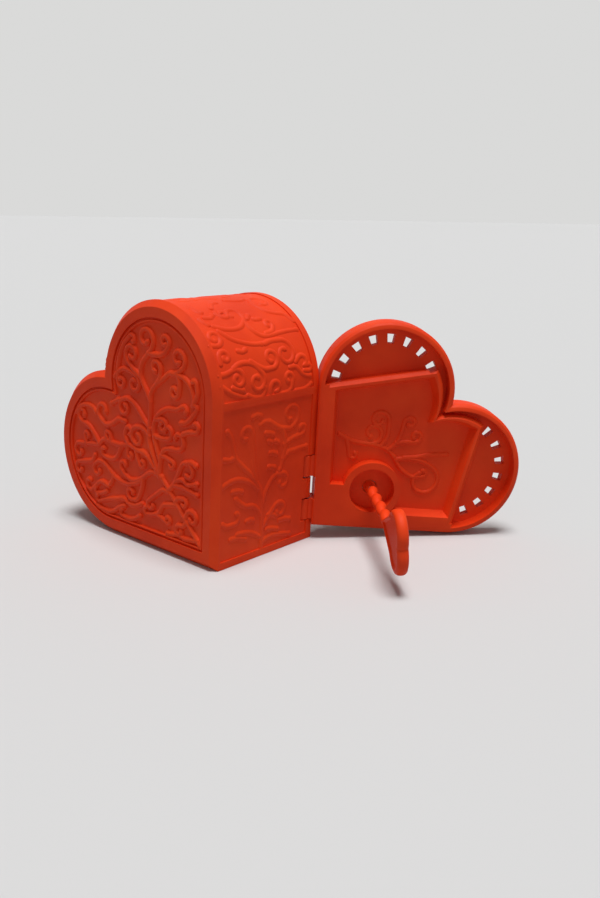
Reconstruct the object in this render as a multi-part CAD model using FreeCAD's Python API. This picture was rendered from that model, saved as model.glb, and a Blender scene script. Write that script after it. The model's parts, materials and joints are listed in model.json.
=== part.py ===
import FreeCAD, Part
import math
import os

# A wind-up music box: a heart-shaped case stands on one straight side, and a back door on a
# pin hinge carries the movement inside and the winding key outside. The door is modelled shut
# and then swung to its rest angle. Millimetres; X to the right seen from the front, Y from
# front to back, Z up. The origin is the centre of the straight side that the case stands on.

# Heart outline of the case
lobe_radius = 30.0
side_length = 55.5
tip_angle = 92.9
notch_flat = 0.3
case_depth = 48.0

# Case shell
case_wall = 4.8
front_wall = 6.0
front_round = 2.2
front_border = 5.6
front_panel_depth = 1.0
wall_panel_depth = 0.4
wall_panel_front_border = 3.0
wall_panel_back_border = 2.8
wall_panel_rib = 2.6
notch_border = 4.0
ledge_width = 2.0
ledge_height = 2.0
ledge_gap = 0.3
opening_lead = 0.9

# Front scrollwork: raised vines, drawn for a heart of these sizes and scaled from its tip. A vine is
# the points of its stem, x and z in mm, then the sweep of its curl in degrees, counted from x to z,
# with the curl's first and last radius. A curl stops where it would be tighter than the least radius.
scroll_lobe_radius = 30.0
scroll_tip_x = 27.75
scroll_width = 1.3
scroll_end_width = 0.9
scroll_height = 0.6
scroll_least_radius = 1.3
stem_steps = 3
curl_step = 30.0
front_vines = [
    ([(20.4, 7.7), (11.5, 17.1), (0.8, 28.3)], None),
    ([(0.7, 30.6), (1.8, 34.8), (3.4, 37.2), (6.5, 38.2), (10.2, 38.4)], (320, 3.4, 0.9)),
    ([(6.6, 24.7), (7.6, 25.6), (9.0, 27.5), (10.3, 30.0), (11.8, 32.8)], (-340, 3.6, 0.9)),
    ([(9.8, 25.9), (13.0, 26.0), (17.5, 25.2), (20.6, 24.6)], None),
    ([(14.0, 16.4), (14.2, 16.8)], (-380, 2.8, 0.8)),
    ([(-1.0, 30.8), (-1.5, 32.0), (-3.5, 36.0), (-4.6, 40.0), (-3.7, 47.0), (-3.2, 52.0), (-2.7, 56.0),
      (0.0, 59.0), (4.3, 61.8), (7.0, 63.6), (10.6, 64.2), (13.0, 65.6)], (420, 3.5, 0.9)),
    ([(0.2, 35.2), (-0.5, 37.0), (-1.6, 40.0), (-2.0, 44.0), (-0.8, 47.0), (1.2, 49.3), (4.0, 51.0),
      (7.5, 52.0), (10.5, 52.2), (13.2, 53.4)], None),
    ([(-6.0, 42.3), (-8.6, 43.0), (-10.8, 42.8)], (400, 3.7, 0.9)),
    ([(-4.5, 55.2), (-6.8, 58.5), (-7.9, 61.0), (-7.8, 63.5), (-6.5, 66.3), (-4.3, 68.3),
      (-2.2, 70.4)], (430, 4.3, 0.9)),
    ([(-1.4, 69.0), (0.0, 69.0), (2.5, 69.2), (5.0, 70.3), (6.6, 72.0)], (420, 2.3, 0.7)),
    ([(12.6, 63.5), (15.0, 62.6), (17.3, 60.6), (18.6, 57.5), (19.0, 54.0)], None),
    ([(-22.5, 59.0), (-20.0, 61.2), (-17.0, 62.3), (-14.0, 62.0), (-11.2, 61.1)], (-430, 3.2, 0.8)),
    ([(-12.0, 62.9), (-14.4, 64.9)], (-430, 3.6, 0.9)),
    ([(-5.6, 44.8), (-6.5, 45.5), (-9.0, 48.0), (-12.0, 50.8), (-15.0, 52.0), (-17.4, 51.8)],
     (400, 3.2, 0.9)),
    ([(-0.1, 41.2), (1.6, 41.0), (5.0, 41.2)], (330, 2.6, 0.8)),
    ([(-3.0, 31.0), (-7.0, 34.0), (-11.5, 34.6), (-16.0, 35.6), (-20.0, 34.6), (-25.0, 34.6),
      (-28.5, 35.2), (-31.2, 34.6), (-33.6, 32.6), (-37.0, 32.0), (-41.5, 31.4), (-46.0, 30.9)],
     (330, 3.0, 0.9)),
    ([(-34.6, 34.0), (-36.0, 35.6), (-39.4, 38.4), (-43.5, 39.6)], (-340, 2.7, 0.9)),
    ([(-17.5, 43.8), (-21.0, 44.0), (-23.4, 42.6), (-26.0, 41.2), (-29.0, 40.8), (-31.4, 42.0)],
     (-300, 3.6, 1.0)),
    ([(-21.0, 32.9), (-22.6, 30.2), (-25.0, 28.7), (-28.0, 28.3), (-30.6, 28.8)], None),
    ([(-1.6, 28.1), (-3.2, 28.1), (-6.0, 26.8), (-9.0, 24.8), (-12.0, 23.4), (-15.2, 22.8), (-18.0, 23.6),
      (-20.2, 25.2)], (-280, 2.2, 0.8)),
    ([(-14.6, 21.5), (-17.5, 20.8), (-22.0, 21.2), (-25.6, 22.4), (-28.4, 24.4),
      (-31.0, 26.0), (-34.0, 26.2), (-36.2, 25.0)], (300, 2.6, 0.9)),
    ([(-36.6, 27.8), (-38.2, 25.6), (-41.6, 24.6), (-46.6, 23.6)], (300, 2.4, 0.9)),
    ([(-29.0, 17.6), (-32.0, 18.4), (-34.4, 18.0), (-36.6, 16.2), (-38.6, 14.6)], (-300, 2.6, 0.9)),
    ([(-9.5, 15.2), (-13.0, 13.8), (-17.0, 13.6), (-20.0, 14.8), (-24.0, 13.8), (-28.0, 12.9),
      (-31.5, 11.8), (-34.5, 10.6)], None),
    ([(-19.6, 12.2), (-23.0, 10.8), (-26.0, 8.8), (-29.0, 7.8), (-33.0, 7.9), (-37.0, 8.6)], None),
    ([(-8.9, 22.6), (-9.4, 20.6), (-12.0, 16.4), (-14.6, 15.6)], (-330, 2.5, 0.9)),
    ([(3.4, 23.0), (2.4, 23.0), (0.2, 21.6), (-3.2, 19.2), (-5.4, 17.6)], (300, 1.8, 0.8)),
    ([(7.6, 18.8), (5.0, 18.2), (2.0, 17.2), (0.0, 14.4), (-2.6, 13.0), (-6.4, 12.2)], None),
]

# Back door
door_gap = 0.6
door_thickness = 8.0
door_floor = 3.2
door_bevel = 1.9
door_rim = 2.3
rim_groove = 2.7
frame_wall = 2.2
frame_bevel = 1.2
notch_groove = 3.0
notch_mitre = 1.0
panel_border = 6.2
panel_depth = 4.0
panel_slope = 1.6
chord_rise = 5.8
chord_angle = 12.2
slot_count = 8
far_slot_count = 7
slot_circle = 18.2
slot_length = 3.4
slot_width = 2.2
slot_outer_width = 3.0
slot_first_angle = 12.0
far_slot_shift = 9.0
slot_step = 19.4
open_angle = 132.0

# Key boss on the door, measured from the door's hinge edge and bottom edge
boss_from_hinge_edge = 21.8
boss_from_bottom = 14.9
boss_radius = 10.6
boss_bore = 8.2
boss_pad_height = 16.5

# Hinge
hinge_inset = 2.5
knuckle_radius = 2.4
hinge_pin_radius = 1.0
hinge_play = 0.05
knuckle_length = 8.0
knuckle_gap = 0.35
hinge_start = 7.5
pin_end_margin = 2.5
cutout_gap = 0.5
door_cove_gap = 0.25
knuckle_notch = 1.0

# Winding key
key_stem_radius = 2.0
key_stem_length = 29.5
key_floor_gap = 0.6
key_handle_width = 21.4
key_handle_length = 25.0
key_handle_thickness = 3.8
key_face_depth = 0.7
key_face_share = 0.8
key_lobe_share = 0.34
key_socket_depth = 8.0
key_turn = 8.0

# Movement: bedplate and screws
bedplate_thickness = 2.0
bedplate_margin = 0.6
screw_radius = 0.8
screw_head_radius = 1.5
screw_head_height = 1.0
screw_play = 0.05
bed_screw_radius = 1.0
bed_screw_head_radius = 2.0
bed_screw_depth = 2.4
bed_screw_head_height = 1.2

# Spring barrel and winding arbor
barrel_radius = 10.6
barrel_lift = 0.4
barrel_height = 6.4
barrel_wall = 0.9
cap_thickness = 0.8
arbor_radius = 1.25
spring_core_radius = 2.2
running_gap = 0.05
spring_gap = 0.5
spring_turns = 6
spring_strip = 0.3
contrate_teeth = 36
contrate_height = 1.2
contrate_face = 1.2
contrate_tooth = 0.6
contrate_dip = 0.4

# Ratchet, click and barrel bridge
ratchet_radius = 5.2
ratchet_depth = 0.6
ratchet_teeth = 24
ratchet_thickness = 0.8
ratchet_drop = 0.1
ratchet_gap = 0.4
click_gap = 0.2
click_angle = -24.0
click_reach = 40.0
click_radius = 8.2
click_boss = 1.2
click_screw_radius = 0.6
bridge_gap = 0.4
bridge_thickness = 1.2
bridge_width = 7.0
bridge_leg = 2.0
bridge_leg_gap = 0.8
bridge_foot = 4.0

# Cylinder and comb
cylinder_radius = 6.5
cylinder_length = 20.0
cylinder_wall = 1.0
cylinder_arbor_radius = 1.0
arbor_end = 0.8
pin_radius = 0.2
pin_height = 0.45
pins_per_row = 5
pin_stride = 7
note_count = 18
comb_tip_gap = 0.9
comb_tooth_length = 6.6
comb_thickness = 0.8
comb_slot = 0.3
comb_back = 4.0
comb_screw_count = 3

# Brackets and gear train
bracket_thickness = 1.2
bracket_foot = 4.6
bracket_half_width = 4.5
bracket_gap = 0.8
bracket_top = 2.8
gear_module = 0.5
wheel_teeth = 30
gear_pinion_teeth = 10
gear_thickness = 1.0
pinion_extra = 0.4
cylinder_pinion_teeth = 12
tooth_share = 0.35
tooth_root_share = 0.70
tooth_tip_share = 0.28
gear_addendum = 0.4
gear_dedendum = 0.6
contrate_pinion_addendum = 0.45
contrate_pinion_dedendum = 0.62
train_arbor_radius = 0.8
governor_arbor_radius = 0.6
governor_angle = 25.0
fan_radius = 5.5
fan_blade = 0.5
fan_width = 2.0
fan_hub_radius = 1.4

# Places worked out from the driving sizes
vector = FreeCAD.Vector
lean = math.radians(tip_angle - 90.0)
tip_x = side_length / 2.0
front_y = -case_depth / 2.0
back_y = case_depth / 2.0
door_inset = case_wall + door_gap
door_inner_y = back_y - door_thickness
side_along = vector(math.sin(lean), 0, math.cos(lean))
side_inward = vector(-math.cos(lean), 0, math.sin(lean))
tip_point = vector(tip_x, 0, 0)
bisector = (side_along + vector(-1, 0, 0)).normalize()
right_centre = tip_point + side_along * side_length + side_inward * lobe_radius
left_centre = vector(tip_x - side_length, 0, lobe_radius)
lobe_middle = (right_centre + left_centre) * 0.5
half_span = (right_centre - left_centre).Length / 2.0
lobe_across = (right_centre - left_centre).normalize()
hinge_point = tip_point + side_inward * hinge_inset + vector(0, back_y - hinge_inset, 0)
far = 4.0 * (lobe_radius + side_length)

# The key axis, where the movement's own u (right), v (up) and h (into the case) start
door_corner = tip_point + bisector * (door_inset / math.sin(math.radians(tip_angle / 2.0)))
key_z = door_corner.z + boss_from_bottom
key_x = door_corner.x + boss_from_bottom * math.tan(lean) - boss_from_hinge_edge / math.cos(lean)

barrel_low = bedplate_thickness + barrel_lift
barrel_top = barrel_low + barrel_height
contrate_top = barrel_top + contrate_height
contrate_radius = barrel_radius - contrate_face / 2.0
contrate_module = 2.0 * contrate_radius / contrate_teeth
cylinder_pinion_radius = contrate_module * cylinder_pinion_teeth / 2.0
cylinder_h = contrate_top - contrate_dip + cylinder_pinion_radius
ratchet_low = contrate_top + ratchet_gap
bridge_low = ratchet_low + ratchet_thickness + bridge_gap
bridge_top = bridge_low + bridge_thickness
bridge_half = barrel_radius + bridge_leg_gap
bearing_v = barrel_radius + bracket_gap
cylinder_v = bearing_v + bracket_thickness + bracket_gap
cylinder_end_v = cylinder_v + cylinder_length
wheel_v = cylinder_end_v + bracket_gap
plate_v = wheel_v + gear_thickness + bracket_gap
train_wheel_v = plate_v + bracket_thickness + bracket_gap
end_plate_v = train_wheel_v + gear_thickness + pinion_extra + bracket_gap
movement_end_v = end_plate_v + bracket_thickness
fan_v = movement_end_v + bracket_gap
wheel_radius = gear_module * wheel_teeth / 2.0
gear_pinion_radius = gear_module * gear_pinion_teeth / 2.0
gear_distance = wheel_radius + gear_pinion_radius
train_u = -gear_distance
governor_u = train_u + gear_distance * math.cos(math.radians(governor_angle))
governor_h = cylinder_h + gear_distance * math.sin(math.radians(governor_angle))
plate_left = train_u - bracket_half_width
plate_top = governor_h + bracket_top
comb_tip_u = cylinder_radius + comb_tip_gap
comb_body_u = comb_tip_u + comb_tooth_length
comb_end_u = comb_body_u + comb_back
comb_low = cylinder_h - comb_thickness / 2.0
foot_end = bridge_half + bridge_leg + bridge_foot
bed_right = max(comb_end_u, foot_end) + bedplate_margin
bed_left = -max(foot_end, wheel_radius + gear_distance) - bedplate_margin
bed_low = -barrel_radius - bedplate_margin
bed_high = movement_end_v + bedplate_margin
bed_step_v = cylinder_end_v + bedplate_margin
bed_screw_room = bed_screw_head_radius + bedplate_margin
bed_step_right = bracket_half_width + 2.0 * bed_screw_room
bed_step_left = plate_left - bedplate_margin
bed_screw_places = [
    (bed_right - bed_screw_room, bed_low + bed_screw_room),
    (bed_left + bed_screw_room, bed_low + bed_screw_room),
    (bed_step_right - bed_screw_room, bed_high - bed_screw_room),
    (bed_left + bed_screw_room, bed_step_v - bed_screw_room),
]


def notch_rise(radius, half_flat):
    """How far past the lobes' middle two lobe arcs of this radius come within half_flat of the axis."""
    return math.sqrt(max(radius ** 2 - (half_span - half_flat) ** 2, 0.0))


def heart_wire(inset, y):
    """The heart outline, drawn in from the case's own by inset, at depth y."""
    radius = lobe_radius - inset
    lift = vector(0, y, 0)
    tip = tip_point + bisector * (inset / math.sin(math.radians(tip_angle / 2.0))) + lift
    right = right_centre - side_inward * radius + lift
    left = left_centre - vector(0, 0, radius) + lift
    half_flat = max(notch_flat / 2.0, half_span - radius)
    rise = bisector * notch_rise(radius, half_flat)
    notch_right = lobe_middle + rise + lobe_across * half_flat + lift
    notch_left = lobe_middle + rise - lobe_across * half_flat + lift
    crown_right = right_centre + vector(0, 0, radius) + lift
    crown_left = left_centre - vector(radius, 0, 0) + lift
    return Part.Wire([
        Part.makeLine(tip, right),
        Part.Arc(right, crown_right, notch_right).toShape(),
        Part.makeLine(notch_right, notch_left),
        Part.Arc(notch_left, crown_left, left).toShape(),
        Part.makeLine(left, tip),
    ])


def heart_face(inset, y):
    return Part.Face(heart_wire(inset, y))


def heart_prism(inset, low_y, high_y):
    return heart_face(inset, low_y).extrude(vector(0, high_y - low_y, 0))


def heart_loft(sections):
    """A solid through heart outlines, each given as (inset, y)."""
    wires = [heart_wire(inset, y) for inset, y in sections]
    return Part.makeLoft(wires, True, True)


def rounded_edge(inset, y, rise):
    """A heart whose edge rounds over from depth y, towards the front when rise is negative."""
    turns = [math.radians(angle) for angle in (0.0, 30.0, 60.0, 90.0)]
    return heart_loft([
        (inset + abs(rise) * (1.0 - math.cos(turn)), y + rise * math.sin(turn)) for turn in turns
    ])


def polygon_face(points):
    return Part.Face(Part.makePolygon(points + [points[0]]))


def mirrored(point):
    """The point on the other side of the heart's own axis."""
    offset = point - tip_point
    along = bisector * offset.dot(bisector)
    return tip_point + along * 2.0 - offset


def open_door(shape):
    """Swings a piece of the shut door to its rest angle."""
    turned = shape.copy()
    turned.rotate(hinge_point, side_along, -open_angle)
    return turned


def place(u, v, h):
    """A point of the shut movement, from the key axis on the door's inner face."""
    return vector(key_x + u, door_inner_y - h, key_z + v)


def post(u, v, low_h, high_h, radius):
    """A cylinder that stands square to the bedplate."""
    return Part.makeCylinder(radius, high_h - low_h, place(u, v, low_h), vector(0, -1, 0))


def rod(u, h, low_v, high_v, radius):
    """A cylinder along the movement's length."""
    return Part.makeCylinder(radius, high_v - low_v, place(u, low_v, h), vector(0, 0, 1))


def block(low_u, high_u, low_v, high_v, low_h, high_h):
    corner = place(low_u, low_v, high_h)
    return Part.makeBox(high_u - low_u, high_h - low_h, high_v - low_v, corner)


def screw(u, v, seat_h, end_h, radius, head_radius, head_height):
    head = post(u, v, seat_h, seat_h + head_height, head_radius)
    slot_half = head_height / 4.0
    slot = block(u - head_radius, u + head_radius, v - slot_half, v + slot_half,
                 seat_h + head_height / 2.0, seat_h + head_height)
    return head.fuse(post(u, v, end_h, seat_h, radius)).removeSplitter().cut(slot)


def group(solids):
    return Part.makeCompound(solids)


def hinge_slab(low, high, inner, outer, low_y, high_y):
    """A block along the hinge axis, from low to high, with reaches away from the axis."""
    start = hinge_point + side_along * low
    corners = [
        start + side_inward * inner + vector(0, low_y, 0),
        start + side_inward * inner + vector(0, high_y, 0),
        start - side_inward * outer + vector(0, high_y, 0),
        start - side_inward * outer + vector(0, low_y, 0),
    ]
    return polygon_face(corners).extrude(side_along * (high - low))


def hinge_rod(low, high, radius):
    return Part.makeCylinder(radius, high - low, hinge_point + side_along * low, side_along)


knuckle_starts = [hinge_start + knuckle_length * number for number in range(3)]
hinge_end = hinge_start + 3 * knuckle_length
pin_top = hinge_end + pin_end_margin
pin_bottom = hinge_start - pin_end_margin


def wall_panels():
    """The shallow sunk panels round the outside, with plain ribs where flat meets lobe."""
    low_y = front_y + wall_panel_front_border
    high_y = back_y - wall_panel_back_border
    skin = heart_prism(-wall_panel_depth, low_y, high_y).cut(heart_prism(wall_panel_depth, low_y, high_y))
    half_rib = wall_panel_rib / 2.0
    reach = wall_panel_depth * 4.0
    base = Part.makeBox(side_length + reach, case_depth, reach + wall_panel_rib)
    base.translate(vector(tip_x - side_length, front_y, -reach))
    right_end = tip_point + side_along * (side_length - half_rib)
    rib_corner = right_end + side_inward * reach + vector(0, front_y, 0)
    rib = polygon_face([
        rib_corner,
        rib_corner + side_along * wall_panel_rib,
        rib_corner + side_along * wall_panel_rib - side_inward * (2.0 * reach),
        rib_corner - side_inward * (2.0 * reach),
    ]).extrude(vector(0, case_depth, 0))
    notch = heart_wire(0, front_y).Vertexes[2].Point
    notch_post = Part.makeCylinder(notch_border, case_depth, notch, vector(0, 1, 0))
    return skin.cut(base.multiFuse([rib, notch_post]))


def stem_points(stem):
    """Points along a smooth stem, by the cubic that each stretch shares with its neighbours."""
    places = [vector(x - scroll_tip_x, 0, z) for x, z in stem]
    ends = [places[0] * 2.0 - places[1]] + places + [places[-1] * 2.0 - places[-2]]
    points = []
    for before, start, end, after in zip(ends, ends[1:], ends[2:], ends[3:]):
        for number in range(stem_steps):
            t = number / stem_steps
            bend = before * 2.0 - start * 5.0 + end * 4.0 - after
            twist = start * 3.0 - before - end * 3.0 + after
            points.append(start + ((end - before) * t + bend * t ** 2 + twist * t ** 3) * 0.5)
    return points + [places[-1]]


def curl_points(stem, sweep, first_radius, last_radius):
    """Carries a stem on along a spiral that turns through sweep and tightens evenly."""
    ahead = stem[-1] - stem[-2]
    heading = math.atan2(ahead.z, ahead.x)
    count = int(abs(sweep) / curl_step)
    turn = math.radians(sweep / count)
    points = list(stem)
    for number in range(count):
        radius = first_radius + (last_radius - first_radius) * (number + 0.5) / count
        if radius < scroll_least_radius:
            break
        chord = 2.0 * radius * math.sin(abs(turn) / 2.0)
        middle = heading + turn / 2.0
        points.append(points[-1] + vector(math.cos(middle), 0, math.sin(middle)) * chord)
        heading += turn
    return points


def vine_ridge(points):
    """A flat-topped ridge along the points, which stands on the front panel and narrows to its end."""
    last = len(points) - 1
    left = []
    right = []
    for number, point in enumerate(points):
        ahead = (points[min(number + 1, last)] - points[max(number - 1, 0)]).normalize()
        half = (scroll_width + (scroll_end_width - scroll_width) * number / last) / 2.0
        across = vector(-ahead.z, 0, ahead.x) * half
        left.append(point + across)
        right.append(point - across)
    edges = []
    for side in (left, right):
        curve = Part.BSplineCurve()
        curve.interpolate(side)
        edges.append(curve.toShape())
    edges.insert(1, Part.makeLine(left[-1], right[-1]))
    edges.append(Part.makeLine(right[0], left[0]))
    floor_y = front_y + front_panel_depth
    return at_depth(Part.Face(Part.Wire(edges)), floor_y - scroll_height, floor_y)


def front_scrolls():
    """The ridges of the front scrollwork, one for each vine."""
    scale = lobe_radius / scroll_lobe_radius
    ridges = []
    for stem, curl in front_vines:
        points = stem_points(stem)
        if curl:
            points = curl_points(points, *curl)
        ridges.append(vine_ridge([tip_point + point * scale for point in points]))
    return ridges


def case_shell():
    shell = rounded_edge(0, front_y + front_round, -front_round)
    shell = shell.fuse(heart_prism(0, front_y + front_round, back_y))
    cavity = heart_prism(case_wall, front_y + front_wall, back_y)
    ledge_y = door_inner_y - ledge_gap
    ledge = heart_prism(case_wall, ledge_y - ledge_height, ledge_y)
    ledge = ledge.cut(heart_prism(case_wall + ledge_width, ledge_y - ledge_height, ledge_y))
    front_panel = heart_prism(front_border, front_y, front_y + front_panel_depth)
    front_panel = front_panel.cut(front_scrolls())
    lead = heart_loft([(case_wall, back_y - opening_lead), (case_wall - opening_lead, back_y)])
    shell = shell.cut(cavity).fuse(ledge).cut(lead).cut(front_panel).cut(wall_panels())
    cut_depth = knuckle_radius + cutout_gap
    door_knuckles = [knuckle_starts[0], knuckle_starts[2]]
    cuts = []
    for start in door_knuckles:
        cuts.append(hinge_slab(start - knuckle_gap, start + knuckle_length + knuckle_gap,
                               case_wall, case_wall, -cut_depth, 2.0 * hinge_inset))
    middle = knuckle_starts[1]
    rounding = hinge_slab(middle, middle + knuckle_length, case_wall, case_wall, 0, 2.0 * hinge_inset)
    cuts.append(rounding.cut(hinge_rod(middle, middle + knuckle_length, hinge_inset)))
    cuts.append(hinge_rod(-lobe_radius, pin_top, hinge_pin_radius))
    return shell.cut(group(cuts))


def hinge_pin():
    return hinge_rod(pin_bottom, pin_top, hinge_pin_radius)


chord_turn = math.radians(chord_angle)
chord_along = vector(-math.cos(chord_turn), 0, math.sin(chord_turn))
chord_outward = vector(math.sin(chord_turn), 0, math.cos(chord_turn))
chord_middle = right_centre + vector(0, 0, chord_rise)


def below_chords():
    """The region on the tip's side of both chords, as a face."""
    across = vector(bisector.z, 0, -bisector.x)
    reach = (tip_point - chord_middle).dot(across) / chord_along.dot(across)
    meeting = chord_middle + chord_along * reach
    near_end = chord_middle - chord_along * far
    return polygon_face([meeting, near_end, tip_point - bisector * far, mirrored(near_end)])


def tip_side():
    """The region on the tip's side of the line through both lobe centres."""
    first = right_centre + lobe_across * far
    last = left_centre - lobe_across * far
    return polygon_face([first, last, last - bisector * far, first - bisector * far])


def at_depth(face, low_y, high_y):
    """A face drawn at depth zero, as a prism between two depths."""
    moved = face.copy()
    moved.translate(vector(0, low_y, 0))
    return moved.extrude(vector(0, high_y - low_y, 0))


def frame_wire(shrink, side_shrink, y):
    """The frame's outline at depth y, drawn in at its chords and arcs, and at its straight sides."""
    side = door_inset + panel_border - frame_wall + side_shrink
    rim_radius = lobe_radius - door_inset - door_rim
    radius = rim_radius - rim_groove - shrink
    corner = tip_point + bisector * (side / math.sin(math.radians(tip_angle / 2.0)))
    start = chord_middle - chord_outward * shrink
    reach = (corner - start).dot(side_inward) / chord_along.dot(side_inward)
    near_end = start + chord_along * reach
    offset = start - right_centre
    along = offset.dot(chord_along)
    far_end = start + chord_along * (math.sqrt(along ** 2 + radius ** 2 - offset.dot(offset)) - along)
    notch_drop = notch_groove + shrink * notch_mitre
    notch = lobe_middle + bisector * (notch_rise(rim_radius, 0.0) - notch_drop)
    notch_spoke = notch - right_centre
    middle = ((far_end - right_centre) + notch_spoke).normalize()
    arc_middle = right_centre + middle * ((radius + notch_spoke.Length) / 2.0)
    lift = vector(0, y, 0)
    points = [corner, near_end, far_end, arc_middle, notch]
    points += [mirrored(point) for point in (arc_middle, far_end, near_end)]
    corner, near_end, far_end, first_arc, notch, last_arc, far_last, near_last = [
        point + lift for point in points
    ]
    return Part.Wire([
        Part.makeLine(corner, near_end),
        Part.makeLine(near_end, far_end),
        Part.Arc(far_end, first_arc, notch).toShape(),
        Part.Arc(notch, last_arc, far_last).toShape(),
        Part.makeLine(far_last, near_last),
        Part.makeLine(near_last, corner),
    ])


def slot(angle, flip, low_y, high_y):
    """One radial slot, wider at its outer end, of the hinge-side lobe, or of the far lobe with flip set."""
    outward = vector(math.cos(angle), 0, math.sin(angle))
    across = vector(-outward.z, 0, outward.x)
    inner = right_centre + outward * (slot_circle - slot_length / 2.0)
    outer = right_centre + outward * (slot_circle + slot_length / 2.0)
    inner_half = across * (slot_width / 2.0)
    outer_half = across * (slot_outer_width / 2.0)
    corners = [inner - inner_half, outer - outer_half, outer + outer_half, inner + inner_half]
    if flip:
        corners = [mirrored(point) for point in corners]
    return at_depth(polygon_face(corners), low_y, high_y)


def slots(low_y, high_y):
    """Radial slots through both lobe floors."""
    cutters = []
    for number in range(slot_count):
        angle = slot_first_angle + slot_step * number
        cutters.append(slot(math.radians(angle), False, low_y, high_y))
    for number in range(far_slot_count):
        angle = slot_first_angle + far_slot_shift + slot_step * number
        cutters.append(slot(math.radians(angle), True, low_y, high_y))
    return group(cutters)


def back_door():
    body = heart_prism(door_inset, door_inner_y, back_y - door_bevel)
    body = body.fuse(rounded_edge(door_inset, back_y - door_bevel, door_bevel))
    frame = Part.Face(frame_wire(0, 0, 0))
    border = below_chords().common(tip_side())
    lobe_pockets = heart_face(door_inset + door_rim, 0).cut(frame).cut(border)
    lobe_cut = at_depth(lobe_pockets, door_inner_y + door_floor, back_y)
    bevel_y = back_y - frame_bevel
    slope = Part.makeLoft([frame_wire(0, 0, bevel_y), frame_wire(frame_bevel, 0, back_y)], True, True)
    bevel_cut = at_depth(frame, bevel_y, back_y).cut(slope)
    panel_cut = Part.makeLoft([
        frame_wire(frame_wall + panel_slope, frame_wall + panel_slope, back_y - panel_depth),
        frame_wire(frame_wall, frame_wall, back_y),
    ], True, True)
    boss = post(0, 0, -door_thickness, 0, boss_radius)
    pad_top = door_corner.z + boss_pad_height
    pad = Part.makeBox(far, door_thickness, far, vector(key_x, door_inner_y, pad_top - far))
    panel_cut = panel_cut.cut(boss.fuse(pad))
    body = body.cut(bevel_cut)
    body = body.cut(lobe_cut).cut(panel_cut).cut(slots(door_inner_y, back_y))
    bore = post(0, 0, -door_thickness, -door_floor, boss_bore)
    arbor_hole = post(0, 0, -door_floor, 0, key_stem_radius + key_floor_gap)
    body = body.cut(bore).cut(arbor_hole)
    cove_radius = hinge_inset * math.sqrt(2.0) + door_cove_gap
    body = body.cut(hinge_rod(-lobe_radius, side_length + lobe_radius, cove_radius))
    middle = knuckle_starts[1]
    notch_reach = door_inset - hinge_inset + knuckle_notch
    body = body.cut(hinge_slab(middle - knuckle_gap, middle + knuckle_length + knuckle_gap,
                               notch_reach, 0, -door_thickness, door_thickness))
    arm_reach = cove_radius + knuckle_notch
    arm_top = knuckle_radius / 2.0
    for start in (knuckle_starts[0], knuckle_starts[2]):
        low = start
        high = start + knuckle_length
        if start == knuckle_starts[0]:
            high -= knuckle_gap
        else:
            low += knuckle_gap
        arm = hinge_slab(low, high, arm_reach, 0, -knuckle_radius, arm_top)
        body = body.fuse(hinge_rod(low, high, knuckle_radius)).fuse(arm)
    body = body.cut(hinge_rod(-lobe_radius, side_length, hinge_pin_radius + hinge_play))
    for u, v in bed_screw_places:
        body = body.cut(post(u, v, -bed_screw_depth, 0, bed_screw_radius))
    return body.removeSplitter()


def winding_key():
    """A round stem along the door's outward direction with a heart handle at its end."""
    inner_h = -door_floor - key_floor_gap
    stem_end_h = -door_thickness - key_stem_length
    stem = post(0, 0, stem_end_h, inner_h, key_stem_radius)
    half = key_handle_thickness / 2.0
    handle = key_plate(1.0, -half, half)
    handle = handle.cut(key_plate(key_face_share, -half, key_face_depth - half))
    handle = handle.cut(key_plate(key_face_share, half - key_face_depth, half))
    socket = post(0, 0, inner_h - key_socket_depth, inner_h, arbor_radius)
    key = stem.fuse(handle).cut(socket).removeSplitter()
    key.rotate(place(0, 0, 0), vector(0, 1, 0), key_turn)
    return key


def key_plate(share, low_x, high_x):
    """The handle's heart, as a plate across X; share draws its outline in towards its middle."""
    radius = share * key_lobe_share * key_handle_width
    offset = share * key_handle_width / 2.0 - radius
    length = share * (key_handle_length + key_stem_radius)
    middle_y = back_y + key_stem_length + (key_handle_length - key_stem_radius) / 2.0
    tip_y = middle_y - length / 2.0
    lobe_y = middle_y + length / 2.0 - radius
    reach = math.hypot(offset, lobe_y - tip_y)
    bend = math.atan2(offset, lobe_y - tip_y) + math.asin(radius / reach)
    tangent = math.sqrt(reach ** 2 - radius ** 2)
    low = vector(key_x + low_x, 0, key_z)
    tip = low + vector(0, tip_y, 0)
    corner_y = tip_y + tangent * math.cos(bend)
    notch = low + vector(0, lobe_y + math.sqrt(radius ** 2 - offset ** 2), 0)
    upper = low + vector(0, corner_y, tangent * math.sin(bend))
    lower = low + vector(0, corner_y, -tangent * math.sin(bend))
    crown_upper = low + vector(0, lobe_y + radius, offset)
    crown_lower = low + vector(0, lobe_y + radius, -offset)
    outline = Part.Wire([
        Part.makeLine(tip, upper),
        Part.Arc(upper, crown_upper, notch).toShape(),
        Part.Arc(notch, crown_lower, lower).toShape(),
        Part.makeLine(lower, tip),
    ])
    return Part.Face(outline).extrude(vector(high_x - low_x, 0, 0))


def bedplate():
    lower = block(bed_left, bed_right, bed_low, bed_step_v, 0, bedplate_thickness)
    upper = block(bed_step_left, bed_step_right, bed_low, bed_high, 0, bedplate_thickness)
    plate = lower.fuse(upper).removeSplitter()
    holes = [post(0, 0, 0, bedplate_thickness, arbor_radius + running_gap)]
    for u, v in bed_screw_places:
        holes.append(post(u, v, 0, bedplate_thickness, bed_screw_radius + screw_play))
    for u, v in small_screw_places():
        holes.append(post(u, v, 0, bedplate_thickness, screw_radius))
    return plate.cut(group(holes))


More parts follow.
